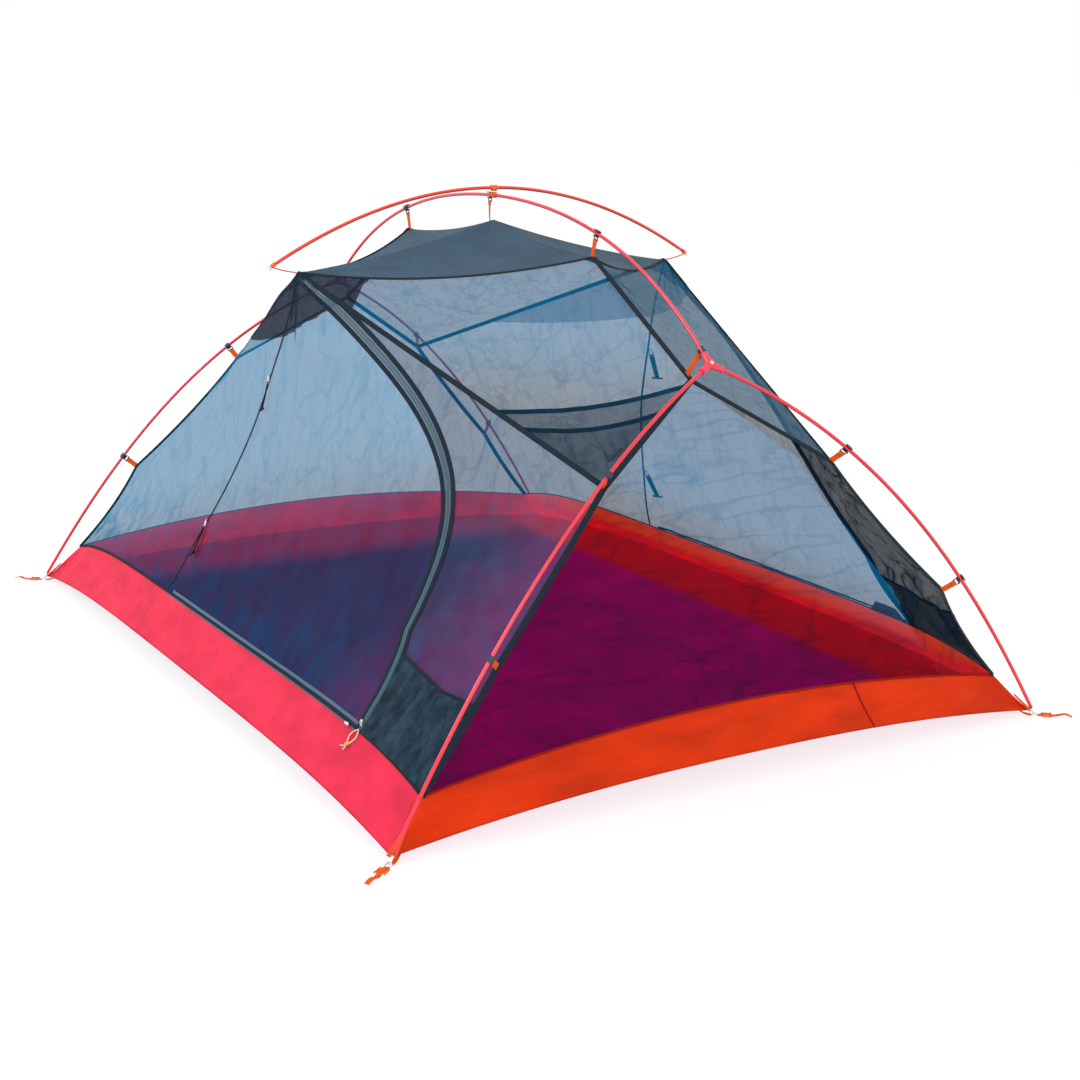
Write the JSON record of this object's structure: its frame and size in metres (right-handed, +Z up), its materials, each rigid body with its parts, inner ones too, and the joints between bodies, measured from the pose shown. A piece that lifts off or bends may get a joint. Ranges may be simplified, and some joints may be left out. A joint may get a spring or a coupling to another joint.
{
  "type": "two-door tent with pole frame",
  "caption": "Free-standing mesh tent body clipped under an arched pole frame, with a tub floor, two zipped side doors and stake straps.",
  "frame": {"origin": "on the ground under the middle of the floor", "axes": "+X along the ridge and the long side, +Y towards the back door, +Z up; the front door is on the -Y side"},
  "size_m": [2.2616, 1.7932, 1.1448],
  "materials": {
    "clip_black": "moulded acetal, dark slate",
    "connector_orange": "moulded plastic, orange",
    "cord_cream": "braided accessory cord, cream",
    "floor_purple": "coated nylon taffeta, dark magenta, slight sheen",
    "hub_red": "moulded nylon, red",
    "mesh_grey": "sheer no-see-um netting, blue-grey",
    "pocket_mesh": "denser netting, dark slate",
    "pole_red": "anodised aluminium tube, red",
    "ripstop_orange": "silicone-coated ripstop nylon, orange-red, fine square grid",
    "ripstop_red": "silicone-coated ripstop nylon, raspberry red, fine square grid",
    "roof_slate": "uncoated ripstop nylon, slate blue, matt",
    "webbing_orange": "woven webbing and ladder-lock, orange",
    "zip_silver": "die-cast slider, silver"
  },
  "bodies": {
    "tent": {"back_wall_left": "mesh_grey", "back_wall_right": "mesh_grey", "corner_tab_back_left": "webbing_orange", "corner_tab_back_right": "webbing_orange", "corner_tab_front_left": "webbing_orange", "corner_tab_front_right": "webbing_orange", "end_mesh_left": "mesh_grey", "end_mesh_right": "mesh_grey", "floor": "floor_purple", "front_wall_left": "mesh_grey", "front_wall_right": "mesh_grey", "gear_pocket": "pocket_mesh", "hub_left": "hub_red", "hub_right": "hub_red", "leg_pole_back_left": "pole_red", "leg_pole_back_right": "pole_red", "leg_pole_front_left": "pole_red", "leg_pole_front_right": "pole_red", "ridge_pole": "pole_red", "roof_panel": "roof_slate", "swivel_lower": "connector_orange", "tub_back": "ripstop_red", "tub_end_left": "ripstop_orange", "tub_end_right": "ripstop_orange", "tub_front": "ripstop_red", "upper_mesh_left": "mesh_grey", "upper_mesh_right": "mesh_grey"},
    "front_door": {"front_door": "mesh_grey"},
    "front_zip_slider_lower": {"front_zip_slider_lower": "zip_silver"},
    "front_zip_slider_upper": {"front_zip_slider_upper": "zip_silver"},
    "front_zip_pull": {"front_zip_pull": "cord_cream"},
    "front_toggle_upper": {"front_toggle_upper": "clip_black"},
    "front_toggle_lower": {"front_toggle_lower": "clip_black"},
    "back_door": {"back_door": "mesh_grey"},
    "back_zip_slider_lower": {"back_zip_slider_lower": "zip_silver"},
    "back_zip_slider_upper": {"back_zip_slider_upper": "zip_silver"},
    "back_zip_pull": {"back_zip_pull": "cord_cream"},
    "back_toggle_upper": {"back_toggle_upper": "clip_black"},
    "back_toggle_lower": {"back_toggle_lower": "clip_black"},
    "cross_pole": {"cross_pole": "pole_red", "swivel_upper": "connector_orange", "awning_cord_front": "webbing_orange", "awning_cord_back": "webbing_orange"},
    "stake_strap_front_right": {"stake_strap_front_right": "webbing_orange"},
    "stake_strap_front_left": {"stake_strap_front_left": "webbing_orange"},
    "stake_strap_back_right": {"stake_strap_back_right": "webbing_orange"},
    "stake_strap_back_left": {"stake_strap_back_left": "webbing_orange"},
    "clip_centre": {"clip_centre": "clip_black"},
    "clip_hub_left": {"clip_hub_left": "clip_black"},
    "clip_hub_right": {"clip_hub_right": "clip_black"},
    "clip_lower_back_left": {"clip_lower_back_left": "clip_black"},
    "clip_lower_back_right": {"clip_lower_back_right": "clip_black"},
    "clip_lower_front_left": {"clip_lower_front_left": "clip_black"},
    "clip_lower_front_right": {"clip_lower_front_right": "clip_black"},
    "clip_ridge_left": {"clip_ridge_left": "clip_black"},
    "clip_ridge_right": {"clip_ridge_right": "clip_black"},
    "clip_upper_back_left": {"clip_upper_back_left": "clip_black"},
    "clip_upper_back_right": {"clip_upper_back_right": "clip_black"},
    "clip_upper_front_left": {"clip_upper_front_left": "clip_black"},
    "clip_upper_front_right": {"clip_upper_front_right": "clip_black"}
  },
  "joints": [
    {"name": "front_door_swing", "type": "hinge", "parent": "tent", "child": "front_door", "pos_m": [-0.27937, -0.72997, 0.15295], "axis": [-0.364, -0.2562, -0.8955], "range_deg": [0, 90]},
    {"name": "front_lower_zip", "type": "slide", "parent": "tent", "child": "front_zip_slider_lower", "axis": [-1, 0, 0.0063], "range_m": [0, 0.98]},
    {"name": "front_upper_zip", "type": "slide", "parent": "tent", "child": "front_zip_slider_upper", "axis": [-0.1643, 0.5624, 0.8104], "range_m": [0, 0.184]},
    {"name": "front_zip_pull_lift", "type": "hinge", "parent": "front_zip_slider_upper", "child": "front_zip_pull", "pos_m": [0.76397, -0.73507, 0.14358], "axis": [-1, 0, 0], "range_deg": [0, 80]},
    {"name": "front_toggle_upper_lift", "type": "hinge", "parent": "tent", "child": "front_toggle_upper", "pos_m": [-0.09602, -0.54479, 0.7], "axis": [-1, 0, 0], "range_deg": [0, 110]},
    {"name": "front_toggle_lower_lift", "type": "hinge", "parent": "tent", "child": "front_toggle_lower", "pos_m": [-0.24641, -0.65272, 0.33], "axis": [-1, 0, 0], "range_deg": [0, 110]},
    {"name": "back_door_swing", "type": "hinge", "parent": "tent", "child": "back_door", "pos_m": [-0.27937, 0.72997, 0.15295], "axis": [0.364, -0.2562, 0.8955], "range_deg": [0, 90]},
    {"name": "back_lower_zip", "type": "slide", "parent": "tent", "child": "back_zip_slider_lower", "axis": [-1, 0, 0.0063], "range_m": [0, 0.98]},
    {"name": "back_upper_zip", "type": "slide", "parent": "tent", "child": "back_zip_slider_upper", "axis": [-0.1643, -0.5624, 0.8104], "range_m": [0, 0.184]},
    {"name": "back_zip_pull_lift", "type": "hinge", "parent": "back_zip_slider_upper", "child": "back_zip_pull", "pos_m": [0.76397, 0.73507, 0.14358], "axis": [1, 0, 0], "range_deg": [0, 80]},
    {"name": "back_toggle_upper_lift", "type": "hinge", "parent": "tent", "child": "back_toggle_upper", "pos_m": [-0.09602, 0.54479, 0.7], "axis": [1, 0, 0], "range_deg": [0, 110]},
    {"name": "back_toggle_lower_lift", "type": "hinge", "parent": "tent", "child": "back_toggle_lower", "pos_m": [-0.24641, 0.65272, 0.33], "axis": [1, 0, 0], "range_deg": [0, 110]},
    {"name": "cross_pole_swivel", "type": "hinge", "parent": "tent", "child": "cross_pole", "pos_m": [0, 0, 1.12], "axis": [0, 0, 1], "range_deg": [-60, 60]},
    {"name": "stake_strap_front_right_lift", "type": "hinge", "parent": "tent", "child": "stake_strap_front_right", "pos_m": [1.0849, -0.8382, 0.0032], "axis": [-0.8, -0.6, 0], "range_deg": [0, 80]},
    {"name": "stake_strap_front_left_lift", "type": "hinge", "parent": "tent", "child": "stake_strap_front_left", "pos_m": [-1.0849, -0.8382, 0.0032], "axis": [-0.8, 0.6, 0], "range_deg": [0, 80]},
    {"name": "stake_strap_back_right_lift", "type": "hinge", "parent": "tent", "child": "stake_strap_back_right", "pos_m": [1.0849, 0.8382, 0.0032], "axis": [0.8, -0.6, 0], "range_deg": [0, 80]},
    {"name": "stake_strap_back_left_lift", "type": "hinge", "parent": "tent", "child": "stake_strap_back_left", "pos_m": [-1.0849, 0.8382, 0.0032], "axis": [0.8, 0.6, 0], "range_deg": [0, 80]},
    {"name": "clip_centre_twist", "type": "hinge", "parent": "tent", "child": "clip_centre", "pos_m": [-0.017, 0, 1.062], "axis": [-1, 0, -0.0086], "range_deg": [0, 50]},
    {"name": "clip_hub_left_twist", "type": "hinge", "parent": "tent", "child": "clip_hub_left", "pos_m": [-0.80204, 0, 0.80149], "axis": [0.772, 0, 0.6357], "range_deg": [0, 50]},
    {"name": "clip_hub_right_twist", "type": "hinge", "parent": "tent", "child": "clip_hub_right", "pos_m": [0.80204, 0, 0.80149], "axis": [-0.772, 0, 0.6357], "range_deg": [0, 50]},
    {"name": "clip_lower_back_left_twist", "type": "hinge", "parent": "tent", "child": "clip_lower_back_left", "pos_m": [-1.00956, 0.56577, 0.31769], "axis": [0.1173, -0.6103, 0.7834], "range_deg": [0, 50]},
    {"name": "clip_lower_back_right_twist", "type": "hinge", "parent": "tent", "child": "clip_lower_back_right", "pos_m": [1.00956, 0.56577, 0.31769], "axis": [-0.1173, -0.6103, 0.7834], "range_deg": [0, 50]},
    {"name": "clip_lower_front_left_twist", "type": "hinge", "parent": "tent", "child": "clip_lower_front_left", "pos_m": [-1.00956, -0.56577, 0.31769], "axis": [0.1173, 0.6103, 0.7834], "range_deg": [0, 50]},
    {"name": "clip_lower_front_right_twist", "type": "hinge", "parent": "tent", "child": "clip_lower_front_right", "pos_m": [1.00956, -0.56577, 0.31769], "axis": [-0.1173, 0.6103, 0.7834], "range_deg": [0, 50]},
    {"name": "clip_ridge_left_twist", "type": "hinge", "parent": "tent", "child": "clip_ridge_left", "pos_m": [-0.43594, 0, 1.00987], "axis": [0.9622, 0, 0.2724], "range_deg": [0, 50]},
    {"name": "clip_ridge_right_twist", "type": "hinge", "parent": "tent", "child": "clip_ridge_right", "pos_m": [0.43594, 0, 1.00987], "axis": [-0.9622, 0, 0.2724], "range_deg": [0, 50]},
    {"name": "clip_upper_back_left_twist", "type": "hinge", "parent": "tent", "child": "clip_upper_back_left", "pos_m": [-0.93425, 0.28604, 0.61877], "axis": [0.2006, -0.7634, 0.614], "range_deg": [0, 50]},
    {"name": "clip_upper_back_right_twist", "type": "hinge", "parent": "tent", "child": "clip_upper_back_right", "pos_m": [0.93425, 0.28604, 0.61877], "axis": [-0.2006, -0.7634, 0.614], "range_deg": [0, 50]},
    {"name": "clip_upper_front_left_twist", "type": "hinge", "parent": "tent", "child": "clip_upper_front_left", "pos_m": [-0.93425, -0.28604, 0.61877], "axis": [0.2006, 0.7634, 0.614], "range_deg": [0, 50]},
    {"name": "clip_upper_front_right_twist", "type": "hinge", "parent": "tent", "child": "clip_upper_front_right", "pos_m": [0.93425, -0.28604, 0.61877], "axis": [-0.2006, 0.7634, 0.614], "range_deg": [0, 50]}
  ]
}
